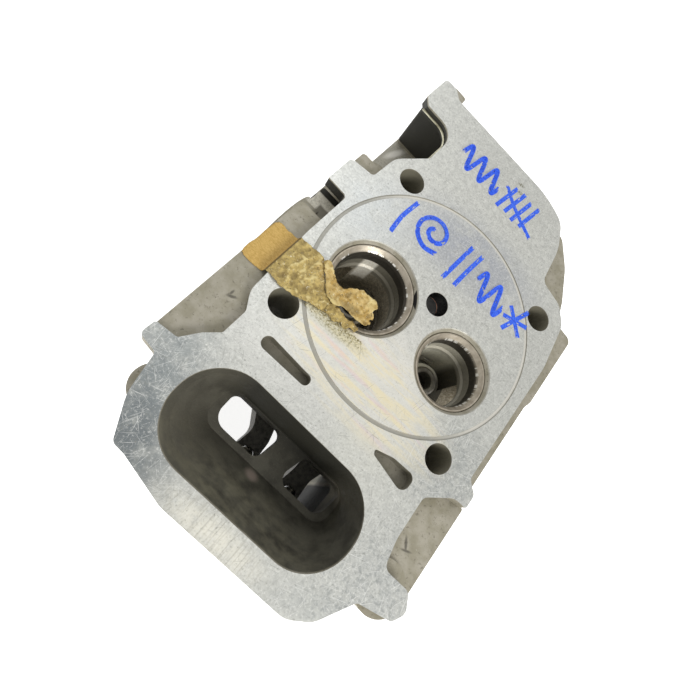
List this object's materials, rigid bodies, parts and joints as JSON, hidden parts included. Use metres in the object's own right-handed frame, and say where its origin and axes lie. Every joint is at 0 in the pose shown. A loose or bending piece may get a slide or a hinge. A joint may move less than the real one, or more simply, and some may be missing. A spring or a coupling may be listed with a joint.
{
  "type": "cylinder head",
  "caption": "Air-cooled diesel cylinder head, deck face up, with pressed-in valve seats and guides, an oval pushrod chamber, side ports and rocker gear in an open rocker box.",
  "frame": {"origin": "centre of the head-bolt square and of the cylinder bore, on the deck face", "axes": "+Z out of the deck towards the cylinder, +Y towards the cooling-air side, -Y towards the pushrod chamber, -X the intake side"},
  "size_m": [0.118, 0.1948, 0.0912],
  "materials": {
    "cast_aluminium": "cast, with machined faces",
    "seat_steel": "ground",
    "guide_iron": "machined, oily",
    "seal_rubber": "matte",
    "spring_steel": "satin",
    "copper": "satin copper",
    "plated_steel": "zinc plated",
    "pedestal_iron": "machined, oily",
    "black_steel": "black oxide",
    "ground_steel": "ground",
    "forged_steel": "forged, oily",
    "bronze": "machined",
    "tape": "creped paper, part soiled"
  },
  "bodies": {
    "head": {"head_casting": "cast_aluminium", "intake_valve_seat": "seat_steel", "exhaust_valve_seat": "seat_steel", "intake_valve_guide": "guide_iron", "exhaust_valve_guide": "guide_iron", "intake_stem_seal": "seal_rubber", "exhaust_stem_seal": "seal_rubber", "stem_seal_springs": "spring_steel", "intake_spring_seat": "spring_steel", "exhaust_spring_seat": "spring_steel", "guide_locating_rings": "spring_steel", "injector_washer": "copper", "injector_clamp_studs": "plated_steel", "oil_feed_plug": "plated_steel", "oil_plug_washer": "copper", "rocker_pedestal": "pedestal_iron", "pedestal_bolts": "black_steel", "pedestal_washers": "plated_steel", "rocker_shaft": "ground_steel", "shaft_lock_screw": "black_steel", "shaft_circlips": "spring_steel", "shaft_thrust_washers": "spring_steel", "masking_tape": "tape"},
    "intake_rocker": {"intake_rocker_arm": "forged_steel", "intake_rocker_bush": "bronze", "intake_adjuster_screw": "ground_steel", "intake_adjuster_locknut": "black_steel"},
    "exhaust_rocker": {"exhaust_rocker_arm": "forged_steel", "exhaust_rocker_bush": "bronze", "exhaust_adjuster_screw": "ground_steel", "exhaust_adjuster_locknut": "black_steel"}
  },
  "joints": [
    {"name": "intake_rocker_pivot", "type": "hinge", "parent": "head", "child": "intake_rocker", "pos_m": [-0.0135, -0.039, -0.068], "axis": [1, 0, 0], "range_deg": [-6, 17]},
    {"name": "exhaust_rocker_pivot", "type": "hinge", "parent": "head", "child": "exhaust_rocker", "pos_m": [0.02, -0.039, -0.068], "axis": [1, 0, 0], "range_deg": [-6, 17]}
  ]
}
